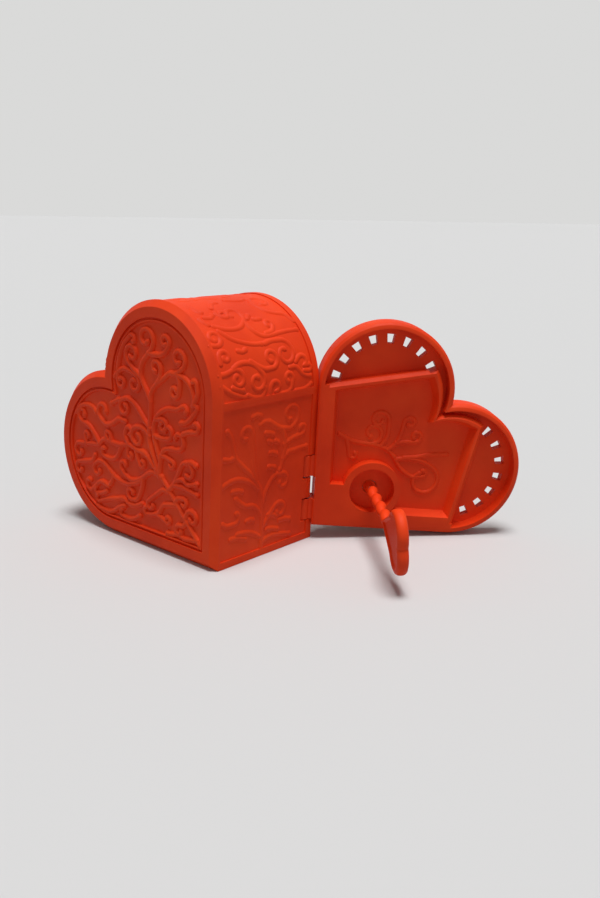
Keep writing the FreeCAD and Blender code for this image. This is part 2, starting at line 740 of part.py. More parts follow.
def comb_screw_places():
    step = cylinder_length / comb_screw_count
    u = comb_body_u + comb_back / 2.0
    return [(u, cylinder_v + step * (number + 0.5)) for number in range(comb_screw_count)]


def bracket_screw_places():
    middle = (train_wheel_v + end_plate_v - bracket_gap) / 2.0
    return [
        (0.0, bearing_v + bracket_thickness + bracket_foot / 2.0),
        (bracket_half_width / 2.0, middle),
        (plate_left + bracket_half_width / 2.0, middle),
    ]


def bridge_screw_places():
    u = bridge_half + bridge_leg + bridge_foot / 2.0
    return [(-u, 0.0), (u, 0.0)]


def small_screw_places():
    return comb_screw_places() + bracket_screw_places() + bridge_screw_places()


def bedplate_screws():
    return group([
        screw(u, v, bedplate_thickness, -bed_screw_depth, bed_screw_radius,
              bed_screw_head_radius, bed_screw_head_height)
        for u, v in bed_screw_places
    ])


def foot_screws(places, seat_h):
    return group([
        screw(u, v, seat_h, 0, screw_radius, screw_head_radius, screw_head_height)
        for u, v in places
    ])


def foot_holes(places, high_h):
    return group([
        post(u, v, bedplate_thickness, high_h, screw_radius + screw_play) for u, v in places
    ])


def spring_barrel():
    """A drum with an open top, whose rim carries the teeth of the contrate wheel."""
    drum = post(0, 0, barrel_low, barrel_top, barrel_radius)
    inside = barrel_radius - contrate_face
    drum = drum.cut(post(0, 0, barrel_low + barrel_wall, barrel_top, inside))
    drum = drum.cut(post(0, 0, barrel_low, barrel_top, arbor_radius + running_gap))
    ring = post(0, 0, barrel_top, contrate_top, barrel_radius)
    ring = ring.cut(post(0, 0, barrel_top, contrate_top, inside))
    step = 2.0 * math.pi / contrate_teeth
    teeth = []
    for number in range(contrate_teeth):
        tooth = block(-contrate_tooth / 2.0, contrate_tooth / 2.0, 0, 2.0 * barrel_radius,
                      barrel_top, contrate_top)
        tooth.rotate(place(0, 0, 0), vector(0, -1, 0), math.degrees(step * (number + 0.5)))
        teeth.append(tooth)
    return drum.fuse(ring.common(group(teeth))).removeSplitter()


def barrel_cap():
    inside = barrel_radius - contrate_face
    cap = post(0, 0, barrel_top - cap_thickness, barrel_top, inside)
    return cap.cut(post(0, 0, barrel_top - cap_thickness, barrel_top, arbor_radius + running_gap))


def mainspring():
    """A flat strip wound in half circles between the arbor's core and the drum's wall."""
    inner = spring_core_radius + spring_gap
    outer = barrel_radius - contrate_face - spring_strip
    halves = 2 * spring_turns
    growth = (outer - inner) / (halves + 1)
    low_h = barrel_low + barrel_wall
    high_h = barrel_top - cap_thickness
    strip = []
    for number in range(halves):
        radius = inner + growth * (number + 0.5)
        shift = growth / 2.0 if number % 2 else 0.0
        low = post(shift, 0, low_h + spring_strip, high_h - spring_strip, radius + spring_strip)
        half = low.cut(post(shift, 0, low_h, high_h, radius))
        side = barrel_radius if number % 2 else -barrel_radius
        half_box = block(-barrel_radius, barrel_radius, min(0, side), max(0, side), low_h, high_h)
        strip.append(half.common(half_box))
    return strip[0].multiFuse(strip[1:]).removeSplitter()


def winding_arbor():
    inner_h = -door_floor - key_floor_gap
    arbor = post(0, 0, inner_h - key_socket_depth, bridge_top, arbor_radius)
    core = post(0, 0, barrel_low + barrel_wall + running_gap, barrel_top - cap_thickness - running_gap,
                spring_core_radius)
    return arbor.fuse(core)


def ratchet_wheel():
    step = 2.0 * math.pi / ratchet_teeth
    points = []
    for number in range(ratchet_teeth):
        angle = step * number
        drop = angle + step * ratchet_drop
        for radius, turn in ((ratchet_radius, angle), (ratchet_radius - ratchet_depth, drop)):
            points.append(place(radius * math.cos(turn), radius * math.sin(turn), ratchet_low))
    wheel = polygon_face(points).extrude(vector(0, -ratchet_thickness, 0))
    return wheel.cut(post(0, 0, ratchet_low, ratchet_low + ratchet_thickness, arbor_radius))


def click_place():
    angle = math.radians(click_angle)
    return click_radius * math.cos(angle), click_radius * math.sin(angle)


def click():
    """A pawl under the bridge, whose arm ends just clear of the ratchet teeth."""
    u, v = click_place()
    clear = ratchet_radius + click_gap
    turn = math.radians(click_angle + click_reach)
    end_u = clear * math.cos(turn) + click_boss
    end_v = clear * math.sin(turn)
    length = math.hypot(end_u - u, end_v - v)
    across_u = (v - end_v) / length * click_boss
    across_v = (end_u - u) / length * click_boss
    arm = polygon_face([
        place(u + across_u, v + across_v, ratchet_low),
        place(u - across_u, v - across_v, ratchet_low),
        place(end_u, end_v, ratchet_low),
    ]).extrude(vector(0, ratchet_low - bridge_low, 0))
    body = arm.fuse(post(u, v, ratchet_low, bridge_low, click_boss))
    body = body.cut(post(0, 0, ratchet_low, bridge_low, clear))
    hole = post(u, v, ratchet_low, bridge_low, click_screw_radius + screw_play)
    return body.cut(hole).removeSplitter()


def click_screw():
    u, v = click_place()
    return screw(u, v, bridge_top, ratchet_low, click_screw_radius, click_boss, screw_head_height)


def barrel_bridge():
    half = bridge_width / 2.0
    strap = block(-bridge_half - bridge_leg, bridge_half + bridge_leg, -half, half, bridge_low, bridge_top)
    pieces = []
    for side in (-1.0, 1.0):
        leg_u = sorted((side * bridge_half, side * (bridge_half + bridge_leg)))
        foot_u = sorted((side * bridge_half, side * foot_end))
        pieces.append(block(leg_u[0], leg_u[1], -half, half, bedplate_thickness, bridge_top))
        pieces.append(block(foot_u[0], foot_u[1], -half, half, bedplate_thickness,
                            bedplate_thickness + bridge_thickness))
    bridge = strap.multiFuse(pieces).removeSplitter()
    bridge = bridge.cut(post(0, 0, bridge_low, bridge_top, arbor_radius + running_gap))
    u, v = click_place()
    bridge = bridge.cut(post(u, v, bridge_low, bridge_top, click_screw_radius))
    return bridge.cut(foot_holes(bridge_screw_places(), bridge_low))


def spur(u, h, low_v, high_v, radius, teeth, addendum, dedendum, first_angle):
    """A straight-toothed wheel about the movement's length, with one tooth at first_angle."""
    pitch = 2.0 * math.pi * radius / teeth
    root_half = tooth_share * pitch * tooth_root_share / (radius - dedendum)
    tip_half = tooth_share * pitch * tooth_tip_share / (radius + addendum)
    points = []
    for number in range(teeth):
        middle = math.radians(first_angle) + 2.0 * math.pi * number / teeth
        for reach, turn in (
            (radius - dedendum, middle - root_half),
            (radius + addendum, middle - tip_half),
            (radius + addendum, middle + tip_half),
            (radius - dedendum, middle + root_half),
        ):
            points.append(place(u + reach * math.cos(turn), low_v, h + reach * math.sin(turn)))
    return polygon_face(points).extrude(vector(0, 0, high_v - low_v))


def on_arbor(wheel, u, h, low_v, high_v, radius):
    return wheel.cut(rod(u, h, low_v, high_v, radius))


def cylinder():
    """The pinned drum, a tube with closed ends; the pins follow a stepped pattern round it."""
    drum = rod(0, cylinder_h, cylinder_v, cylinder_end_v, cylinder_radius)
    drum = drum.cut(rod(0, cylinder_h, cylinder_v + cylinder_wall, cylinder_end_v - cylinder_wall,
                        cylinder_radius - cylinder_wall))
    pins = []
    pitch = cylinder_length / note_count
    for row in range(note_count):
        v = cylinder_v + pitch * (row + 0.5)
        for number in range(pins_per_row):
            angle = 2.0 * math.pi * (number / pins_per_row + ((row * pin_stride) % note_count) / note_count)
            outward = vector(math.cos(angle), -math.sin(angle), 0)
            start = place(0, v, cylinder_h) + outward * (cylinder_radius - pin_height)
            pins.append(Part.makeCylinder(pin_radius, 2.0 * pin_height, start, outward))
    drum = drum.multiFuse(pins)
    return drum.cut(rod(0, cylinder_h, cylinder_v, cylinder_end_v, cylinder_arbor_radius))


def cylinder_arbor():
    low_v = contrate_radius - contrate_face / 2.0 - arbor_end
    return rod(0, cylinder_h, low_v, plate_v + bracket_thickness, cylinder_arbor_radius)


def cylinder_pinion():
    low_v = contrate_radius - contrate_face / 2.0
    high_v = contrate_radius + contrate_face / 2.0
    wheel = spur(0, cylinder_h, low_v, high_v, cylinder_pinion_radius, cylinder_pinion_teeth,
                 contrate_pinion_addendum, contrate_pinion_dedendum, -90.0)
    return on_arbor(wheel, 0, cylinder_h, low_v, high_v, cylinder_arbor_radius)


def cylinder_wheel():
    high_v = wheel_v + gear_thickness
    wheel = spur(0, cylinder_h, wheel_v, high_v, wheel_radius, wheel_teeth,
                 gear_addendum, gear_dedendum, 180.0)
    return on_arbor(wheel, 0, cylinder_h, wheel_v, high_v, cylinder_arbor_radius)


def half_step(teeth):
    return 180.0 / teeth


def train_pinion():
    low_v = wheel_v - pinion_extra / 2.0
    high_v = wheel_v + gear_thickness + pinion_extra / 2.0
    wheel = spur(train_u, cylinder_h, low_v, high_v, gear_pinion_radius, gear_pinion_teeth,
                 gear_addendum, gear_dedendum, half_step(gear_pinion_teeth))
    return on_arbor(wheel, train_u, cylinder_h, low_v, high_v, train_arbor_radius)


def train_wheel():
    high_v = train_wheel_v + gear_thickness
    wheel = spur(train_u, cylinder_h, train_wheel_v, high_v, wheel_radius, wheel_teeth,
                 gear_addendum, gear_dedendum, governor_angle)
    return on_arbor(wheel, train_u, cylinder_h, train_wheel_v, high_v, train_arbor_radius)


def train_arbor():
    return rod(train_u, cylinder_h, wheel_v - arbor_end, movement_end_v, train_arbor_radius)


def governor_pinion():
    low_v = train_wheel_v - pinion_extra / 2.0
    high_v = train_wheel_v + gear_thickness + pinion_extra / 2.0
    first = governor_angle + 180.0 + half_step(gear_pinion_teeth)
    wheel = spur(governor_u, governor_h, low_v, high_v, gear_pinion_radius, gear_pinion_teeth,
                 gear_addendum, gear_dedendum, first)
    return on_arbor(wheel, governor_u, governor_h, low_v, high_v, governor_arbor_radius)


def governor_arbor():
    return rod(governor_u, governor_h, plate_v, fan_v + fan_width + arbor_end, governor_arbor_radius)


def governor_fan():
    hub = rod(governor_u, governor_h, fan_v, fan_v + fan_width, fan_hub_radius)
    blade = block(governor_u - fan_radius, governor_u + fan_radius, fan_v, fan_v + fan_width,
                  governor_h - fan_blade / 2.0, governor_h + fan_blade / 2.0)
    fan = hub.fuse(blade).removeSplitter()
    return on_arbor(fan, governor_u, governor_h, fan_v, fan_v + fan_width, governor_arbor_radius)


def bearing_bracket():
    foot_h = bedplate_thickness + bracket_thickness
    plate = block(-bracket_half_width, bracket_half_width, bearing_v, bearing_v + bracket_thickness,
                  bedplate_thickness, cylinder_h + bracket_top)
    foot = block(-bracket_half_width, bracket_half_width, bearing_v,
                 bearing_v + bracket_thickness + bracket_foot, bedplate_thickness, foot_h)
    bore = rod(0, cylinder_h, bearing_v, bearing_v + bracket_thickness, cylinder_arbor_radius + running_gap)
    return plate.fuse(foot).removeSplitter().cut(bore).cut(foot_holes(bracket_screw_places()[:1], foot_h))


def gear_bracket():
    """Two upright plates on one foot, which hold the ends of three arbors."""
    foot_h = bedplate_thickness + bracket_thickness
    right = bracket_half_width
    first = block(plate_left, right, plate_v, plate_v + bracket_thickness, bedplate_thickness, plate_top)
    last = block(plate_left, right, end_plate_v, movement_end_v, bedplate_thickness, plate_top)
    foot = block(plate_left, right, plate_v, movement_end_v, bedplate_thickness, foot_h)
    bracket = first.multiFuse([last, foot]).removeSplitter()
    bores = [
        rod(0, cylinder_h, plate_v, plate_v + bracket_thickness, cylinder_arbor_radius + running_gap),
        rod(train_u, cylinder_h, plate_v, movement_end_v, train_arbor_radius + running_gap),
        rod(governor_u, governor_h, plate_v, movement_end_v, governor_arbor_radius + running_gap),
    ]
    bracket = bracket.cut(group(bores))
    return bracket.cut(foot_holes(bracket_screw_places()[1:], foot_h))


def comb_base():
    base = block(comb_body_u, comb_end_u, cylinder_v, cylinder_end_v, bedplate_thickness, comb_low)
    return base.cut(foot_holes(comb_screw_places(), comb_low))


def comb():
    """A steel plate slotted into teeth, one for each note."""
    high_h = comb_low + comb_thickness
    plate = block(comb_tip_u, comb_end_u, cylinder_v, cylinder_end_v, comb_low, high_h)
    pitch = cylinder_length / note_count
    slots_between = []
    for number in range(1, note_count):
        v = cylinder_v + pitch * number
        slots_between.append(block(comb_tip_u, comb_body_u, v - comb_slot / 2.0, v + comb_slot / 2.0,
                                   comb_low, high_h))
    plate = plate.cut(group(slots_between))
    return plate.cut(group([
        post(u, v, comb_low, high_h, screw_radius + screw_play) for u, v in comb_screw_places()
    ]))


def comb_screws():
    return foot_screws(comb_screw_places(), comb_low + comb_thickness)


def bracket_screws():
    return foot_screws(bracket_screw_places(), bedplate_thickness + bracket_thickness)


def bridge_screws():
    return foot_screws(bridge_screw_places(), bedplate_thickness + bridge_thickness)


case_nodes = [case_shell, hinge_pin]
door_nodes = [
    back_door, bedplate, bedplate_screws, barrel_bridge, bridge_screws, click, click_screw,
    bearing_bracket, gear_bracket, bracket_screws, comb_base, comb, comb_screws,
    winding_key, winding_arbor, ratchet_wheel,
    spring_barrel, barrel_cap, mainspring,
    cylinder, cylinder_arbor, cylinder_pinion, cylinder_wheel,
    train_arbor, train_pinion, train_wheel,
    governor_arbor, governor_pinion, governor_fan,
]


def main():
    os.makedirs("parts", exist_ok=True)
    for maker in case_nodes + door_nodes:
        shape = maker()
        if maker in door_nodes:
            shape = open_door(shape)
        name = maker.__name__
        shape.exportStep("parts/" + name + ".step")
        print(name, len(shape.Solids), round(shape.Volume, 2), shape.isValid())


main()
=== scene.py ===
import bmesh
import bpy
import json
import numpy as np
from math import radians
from mathutils import Matrix, Vector

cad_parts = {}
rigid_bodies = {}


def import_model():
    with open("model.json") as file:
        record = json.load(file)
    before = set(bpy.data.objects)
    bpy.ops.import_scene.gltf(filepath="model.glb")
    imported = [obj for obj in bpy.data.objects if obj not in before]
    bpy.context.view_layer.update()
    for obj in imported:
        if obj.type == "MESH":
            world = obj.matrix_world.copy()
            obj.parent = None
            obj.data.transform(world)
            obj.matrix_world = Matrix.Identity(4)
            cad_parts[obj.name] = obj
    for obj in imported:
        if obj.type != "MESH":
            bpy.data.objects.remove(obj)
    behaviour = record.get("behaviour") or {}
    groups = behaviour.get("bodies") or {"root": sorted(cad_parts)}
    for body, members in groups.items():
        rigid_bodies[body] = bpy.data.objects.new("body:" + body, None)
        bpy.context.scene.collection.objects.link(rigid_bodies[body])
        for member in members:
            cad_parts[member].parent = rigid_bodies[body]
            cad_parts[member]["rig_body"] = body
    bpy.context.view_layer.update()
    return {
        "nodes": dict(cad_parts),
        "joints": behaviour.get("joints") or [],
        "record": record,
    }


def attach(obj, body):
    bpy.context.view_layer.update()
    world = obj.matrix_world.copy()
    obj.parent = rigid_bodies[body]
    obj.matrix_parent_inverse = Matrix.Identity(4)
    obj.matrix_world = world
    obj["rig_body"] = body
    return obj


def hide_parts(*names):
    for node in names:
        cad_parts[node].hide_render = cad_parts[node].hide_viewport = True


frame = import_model()
nodes = frame["nodes"]
joints = {j["name"]: j for j in frame["joints"]}
slots = {s["node"]: s["material_slot"] for s in frame["record"]["subparts"]}
print("frame loaded", len(nodes), "nodes")


# camera at the viewing angle: place in metres, turns in degrees, lens in mm on a 36 mm frame
cameraView = {"place": (0.22695, -0.20408, 0.11335), "yaw": -41.923, "pitch": 14.820, "roll": 0.843,
              "lens": 35.09}


def aimCamera(view):
    yaw, pitch, roll = (radians(view[k]) for k in ("yaw", "pitch", "roll"))
    ahead = Vector((np.sin(yaw) * np.cos(pitch), np.cos(yaw) * np.cos(pitch), -np.sin(pitch)))
    right = Vector((np.cos(yaw), -np.sin(yaw), 0))
    up = right.cross(ahead)
    tiltRight = right * np.cos(roll) + up * np.sin(roll)
    tiltUp = up * np.cos(roll) - right * np.sin(roll)
    data = bpy.data.cameras.new("camera")
    data.lens = view["lens"]
    data.sensor_width = 36
    data.clip_start = 0.01
    camera = bpy.data.objects.new("camera", data)
    turn = Matrix((tiltRight, tiltUp, -ahead)).transposed().to_4x4()
    camera.matrix_world = Matrix.Translation(view["place"]) @ turn
    bpy.context.scene.collection.objects.link(camera)
    bpy.context.scene.camera = camera


def link(obj):
    bpy.context.scene.collection.objects.link(obj)
    return obj


# materials: each starts from one shader, and its pattern reads Object coordinates in metres
def startMaterial(name):
    material = bpy.data.materials.new(name)
    material.use_nodes = True
    tree = material.node_tree
    shader = tree.nodes["Principled BSDF"]
    coords = tree.nodes.new("ShaderNodeTexCoord").outputs["Object"]
    return material, tree, shader, coords


def addNode(tree, kind, sources=None, **values):
    node = tree.nodes.new(kind)
    for key, value in values.items():
        setattr(node, key, value)
    for socket, source in (sources or {}).items():
        if isinstance(source, bpy.types.NodeSocket):
            tree.links.new(source, node.inputs[socket])
        else:
            node.inputs[socket].default_value = source
    return node


def ramp(tree, source, stops):
    node = addNode(tree, "ShaderNodeValToRGB", {"Fac": source})
    for index, (place, colour) in enumerate(stops):
        stop = node.color_ramp.elements[index] if index < 2 else node.color_ramp.elements.new(place)
        stop.position = place
        stop.color = (*colour, 1)
    return node.outputs["Color"]


def noise(tree, coords, scale, detail):
    sources = {"Vector": coords, "Scale": scale, "Detail": detail}
    return addNode(tree, "ShaderNodeTexNoise", sources).outputs["Fac"]


# roughness between two levels, over the middle of a noise
def roughen(tree, shader, source, low, high):
    levels = addNode(tree, "ShaderNodeMapRange", {"Value": source, "From Min": 0.3, "From Max": 0.7,
                                                  "To Min": low, "To Max": high})
    tree.links.new(levels.outputs["Result"], shader.inputs["Roughness"])


def emboss(tree, shader, relief, strength, height):
    bump = addNode(tree, "ShaderNodeBump", {"Height": relief, "Strength": strength, "Distance": height})
    tree.links.new(bump.outputs["Normal"], shader.inputs["Normal"])


plastic = {"deep": (0.76, 0.040, 0.004), "base": (0.86, 0.052, 0.006), "pale": (0.92, 0.068, 0.009),
           "drift": 55.0, "grain": 2600.0, "layer": 0.00028, "rough": (0.50, 0.66), "shine": 0.2,
           "bump": 0.22, "bumpHeight": 0.00004}
# a wave texture at scale 1 repeats after about this length
waveLength = 0.314


# printed plastic: layer lines square to the print direction, a fine grain and slow colour drift
def printedPlastic(name, turn):
    material, tree, shader, coords = startMaterial(name)
    turned = addNode(tree, "ShaderNodeMapping", {"Vector": coords, "Rotation": turn}).outputs["Vector"]
    drift = noise(tree, coords, plastic["drift"], 3.0)
    grain = noise(tree, coords, plastic["grain"], 2.0)
    layers = addNode(tree, "ShaderNodeTexWave", {"Vector": turned, "Scale": waveLength / plastic["layer"],
                                                 "Distortion": 0.6, "Detail": 1.0, "Detail Scale": 0.4},
                     bands_direction="Y").outputs["Fac"]
    colour = ramp(tree, drift, [(0.30, plastic["deep"]), (0.52, plastic["base"]), (0.75, plastic["pale"])])
    tree.links.new(colour, shader.inputs["Base Color"])
    relief = addNode(tree, "ShaderNodeMath", {0: layers, 1: grain}, operation="ADD").outputs["Value"]
    roughen(tree, shader, grain, *plastic["rough"])
    emboss(tree, shader, relief, plastic["bump"], plastic["bumpHeight"])
    shader.inputs["Specular IOR Level"].default_value = plastic["shine"]
    return material


metals = {"steel": ((0.42, 0.42, 0.41), (0.60, 0.60, 0.58), 0.30),
          "brass": ((0.56, 0.36, 0.11), (0.76, 0.53, 0.20), 0.28)}
scratches = {"stretch": (1.0, 14.0, 14.0), "scale": 260.0, "mottle": 180.0, "bump": 0.12,
             "bumpHeight": 0.00003}


# metal: fine drawn scratches along one direction over a soft mottle
def scratchedMetal(name, kind, turn):
    dark, pale, rough = metals[kind]
    material, tree, shader, coords = startMaterial(name)
    stretched = addNode(tree, "ShaderNodeMapping", {"Vector": coords, "Rotation": turn,
                                                    "Scale": scratches["stretch"]}).outputs["Vector"]
    lines = noise(tree, stretched, scratches["scale"], 4.0)
    mottle = noise(tree, coords, scratches["mottle"], 4.0)
    mixed = addNode(tree, "ShaderNodeMath", {0: lines, 1: mottle}, operation="MULTIPLY").outputs["Value"]
    tree.links.new(ramp(tree, mixed, [(0.14, dark), (0.36, pale)]), shader.inputs["Base Color"])
    roughen(tree, shader, lines, rough - 0.08, rough + 0.14)
    emboss(tree, shader, lines, scratches["bump"], scratches["bumpHeight"])
    shader.inputs["Metallic"].default_value = 1.0
    return material


# the door is drawn shut, and swing turns it to where it stands open, in degrees
doorOpen = 132
hingePoint = np.array(joints["door_hinge"]["pos_m"])
swing = Matrix.Rotation(radians(doorOpen), 3, Vector(joints["door_hinge"]["axis"]))
doorAngles = swing.transposed().to_euler()


def swung(points):
    return hingePoint + (points - hingePoint) @ np.array(swing).T


finishes = {
    "case": printedPlastic("printedCase", (0, 0, 0)),
    "door": printedPlastic("printedDoor", doorAngles),
    "steel": scratchedMetal("platedSteel", "steel", doorAngles),
    "brass": scratchedMetal("satinBrass", "brass", doorAngles),
}
print("materials made")


# front edge of the case in mm: where the rounding starts, its radius and the steps it has in degrees
frontEdge = {"y": -24.0, "radius": 2.2, "steps": (30, 60), "near": 0.02}


# a rounding drawn flat: the points of each step slide straight back onto the chord
def flattenEdge(shell, edge):
    for step in edge["steps"]:
        onRound = edge["y"] + edge["radius"] * (1 - np.sin(radians(step)))
        onChord = edge["y"] + edge["radius"] * np.cos(radians(step))
        for vert in shell.verts:
            if abs(vert.co.y * 1000 - onRound) < edge["near"]:
                vert.co.y = onChord * 0.001


# an edge sharper than the angle is eased by the width, and shades as a crease
easing = {"width": 0.0003, "angle": 28, "merge": 2e-6, "flat": 0.4}


# a CAD solid's own surface, with its flat faces made whole and its edges eased
def easedNode(name, finish, eased):
    source = nodes[name]
    mesh = bpy.data.meshes.new(name + "Eased")
    shell = bmesh.new()
    shell.from_mesh(source.data)
    bmesh.ops.remove_doubles(shell, verts=shell.verts, dist=easing["merge"])
    if name == "case_shell":
        flattenEdge(shell, frontEdge)
    bmesh.ops.dissolve_limit(shell, angle_limit=radians(easing["flat"]), verts=shell.verts,
                             edges=shell.edges)
    shell.to_mesh(mesh)
    shell.free()
    mesh.polygons.foreach_set("use_smooth", np.ones(len(mesh.polygons), bool))
    mesh.set_sharp_from_angle(angle=radians(easing["angle"]))
    piece = link(bpy.data.objects.new(name + "Eased", mesh))
    if eased:
        bevel = piece.modifiers.new("ease", "BEVEL")
        bevel.width = easing["width"]
        bevel.segments = 2
        bevel.limit_method = "ANGLE"
        bevel.angle_limit = radians(easing["angle"])
        bevel.harden_normals = True
    mesh.materials.clear()
    mesh.materials.append(finishes[finish])
    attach(piece, source["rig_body"])
    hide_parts(name)


for nodeName in nodes:
    if nodeName == "winding_key":
        continue
    if slots[nodeName] == "printed_plastic":
        easedNode(nodeName, "case" if nodeName == "case_shell" else "door", True)
    else:
        easedNode(nodeName, slots[nodeName], False)
print("nodes dressed")


# heart outline in mm, as the case has it; the axis runs from the tip to the notch
heart = {"lobe": 30.0, "side": 55.5, "tipAngle": 92.9, "depth": 48.0}
lean = radians(heart["tipAngle"] - 90)
sideAlong = np.array([np.sin(lean), 0, np.cos(lean)])
sideOut = np.array([np.cos(lean), 0, -np.sin(lean)])
tip = np.array([heart["side"] / 2, 0, 0])
lobeCentre = tip + sideAlong * heart["side"] - sideOut * heart["lobe"]
axisAngle = np.pi - radians(heart["tipAngle"] / 2)
axis = np.array([np.cos(axisAngle), 0, np.sin(axisAngle)])
frontY = -heart["depth"] / 2
backY = heart["depth"] / 2


# reflection in the plane through the axis
def acrossAxis(points):
    offset = points - tip
    flip = 2 * (offset @ axis)[..., None] * axis - offset
    flip[..., 1] = offset[..., 1]
    return tip + flip


def stack3(x, y, z):
    return np.stack(np.broadcast_arrays(x, y, z), -1)


# depth of each sunk panel in mm; the lobe's scrolls come again, lower, back from topEnd mm round the lobe
panels = {"front": 1.0, "wall": 0.4, "door": 4.0, "topEnd": 86.0, "topHeight": 0.5}


# places on each panel from two lengths along it, a and b, and a height above its floor
def onFront(a, b, height):
    return stack3(a, frontY + panels["front"] - height, b)


def onFrontMirrored(a, b, height):
    return acrossAxis(onFront(a, b, height))


def onWall(a, b, height):
    out = (height - panels["wall"])[..., None] * sideOut
    return tip + b[..., None] * sideAlong + out + stack3(0, frontY + a, 0)


def onLobe(a, b, height):
    turn = b / heart["lobe"]
    spoke = np.cos(turn)[..., None] * sideOut + np.sin(turn)[..., None] * sideAlong
    radius = heart["lobe"] - panels["wall"] + height
    return lobeCentre + spoke * radius[..., None] + stack3(0, frontY + a, 0)


# the same scrolls turned half round and lower, further up the lobe
def onLobeTop(a, b, height):
    return onLobe(heart["depth"] - a, panels["topEnd"] - b, height * panels["topHeight"])


def onFarLobe(a, b, height):
    return acrossAxis(onLobe(a, b, height))


def onFarLobeTop(a, b, height):
    return acrossAxis(onLobeTop(a, b, height))


def onDoor(a, b, height):
    return swung(stack3(a, backY - panels["door"] + height, b) * 0.001) * 1000


# steps along a path in mm, points over a ridge and along its round start, and its least width in mm
fineness = {"step": 0.3, "bow": 9, "start": 6, "least": 0.15}


# a stem through its points: on each stretch the Catmull-Rom cubic of the four points round it
def stemPath(points):
    p = np.array(points, float)
    p = np.vstack([2 * p[0] - p[1], p, 2 * p[-1] - p[-2]])
    parts = []
    for q0, q1, q2, q3 in zip(p[:-3], p[1:-2], p[2:-1], p[3:]):
        count = max(int(np.linalg.norm(q2 - q1) / fineness["step"]), 2)
        t = np.linspace(0, 1, count, endpoint=False)[:, None]
        parts.append(0.5 * (2 * q1 + (q2 - q0) * t + (2 * q0 - 5 * q1 + 4 * q2 - q3) * t ** 2
                            + (3 * q1 - q0 - 3 * q2 + q3) * t ** 3))
    return np.vstack(parts + [p[-2:-1]])


# a curl carries a stem on: the heading turns evenly while the radius goes from wide to tight
def curlPath(stem, sweep, wide, tight):
    whole = abs(radians(sweep))
    count = int(whole * (wide + tight) / 2 / fineness["step"]) + 2
    turn = np.linspace(0, whole, count)
    radius = wide + (tight - wide) * turn / whole
    ahead = stem[-1] - stem[-2]
    heading = np.arctan2(ahead[1], ahead[0]) + np.sign(sweep) * turn
    move = np.stack([np.cos(heading), np.sin(heading)], 1) * (radius * whole / (count - 1))[:, None]
    return np.vstack([stem, stem[-1] + np.cumsum(move, 0)])


def vinePath(stem, curl):
    path = stemPath(stem)
    return curlPath(path, *curl) if curl else path


# rings of points joined by quads, with a face over each end
def ringFaces(rows, columns):
    ring = np.arange(columns)
    ahead = np.roll(ring, -1)
    low = np.arange(rows - 1)[:, None] * columns
    quads = np.stack([low + ring, low + ahead, low + ahead + columns, low + ring + columns], -1)
    ends = [ring[::-1].tolist(), (ring + (rows - 1) * columns).tolist()]
    return quads.reshape(-1, 4).tolist() + ends


# a ridge along a path: a round or peaked bow across, round at its start, narrowing to a round bud
def ridge(path, look, toPlace):
    half = look["width"] / 2
    lead = np.linspace(half, 0, fineness["start"], endpoint=False)[:, None]
    first = path[0] - path[1]
    path = np.vstack([path[0] + lead * first / np.linalg.norm(first), path])
    gaps = np.linalg.norm(np.diff(path, axis=0), axis=1)
    along = np.r_[0, np.cumsum(gaps)]
    left = along[-1] - along
    ahead = np.gradient(path, axis=0)
    ahead /= np.linalg.norm(ahead, axis=1)[:, None]
    slim = look["width"] * (1 - (1 - look["thin"]) * along / along[-1])
    bud = 2 * np.sqrt(np.maximum(look["bud"] ** 2 - (left - look["bud"]) ** 2, 0))
    begun = np.sqrt(1 - (1 - np.minimum(along / half, 1)) ** 2)
    wide = np.where(left < look["bud"], bud, np.maximum(slim, bud)) * begun
    wide = np.maximum(wide, fineness["least"])
    tall = look["height"] * np.sqrt(np.minimum(wide / look["width"], 1))
    bow = np.linspace(0, np.pi, fineness["bow"])
    across = np.r_[np.cos(bow), -1, 1]
    rise = np.r_[np.abs(np.sin(bow)) ** look["peak"], 0, 0]
    sunk = np.r_[0 * bow, look["sunk"], look["sunk"]]
    a = path[:, :1] - ahead[:, 1:] * across * wide[:, None] / 2
    b = path[:, 1:] + ahead[:, :1] * across * wide[:, None] / 2
    points = toPlace(a, b, tall[:, None] * rise - sunk).reshape(-1, 3)
    faces = ringFaces(*a.shape)
    p, q, r, s = points[np.array(faces[:-2])].swapaxes(0, 1)
    volume = np.einsum("ij,ij->", p, np.cross(q, r) + np.cross(r, s))
    if volume < 0:
        faces = [face[::-1] for face in faces]
    return points, faces


# all the ridges of one panel as one mesh, from mm to metres
def scrollwork(name, look, places, body, finish):
    verts, faces, count = [], [], 0
    for vine in look["vines"]:
        path = vine if isinstance(vine, np.ndarray) else vinePath(*vine)
        for toPlace in places:
            v, f = ridge(path, look, toPlace)
            verts.append(v)
            faces += [[corner + count for corner in face] for face in f]
            count += len(v)
    addPiece(name, np.vstack(verts) * 0.001, faces, body, finish)


def addPiece(name, verts, faces, body, finish):
    mesh = bpy.data.meshes.new(name)
    mesh.from_pydata(verts.tolist(), [], faces)
    mesh.polygons.foreach_set("use_smooth", np.ones(len(mesh.polygons), bool))
    mesh.set_sharp_from_angle(angle=radians(50))
    mesh.materials.append(finishes[finish])
    piece = link(bpy.data.objects.new(name, mesh))
    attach(piece, body)
    return piece


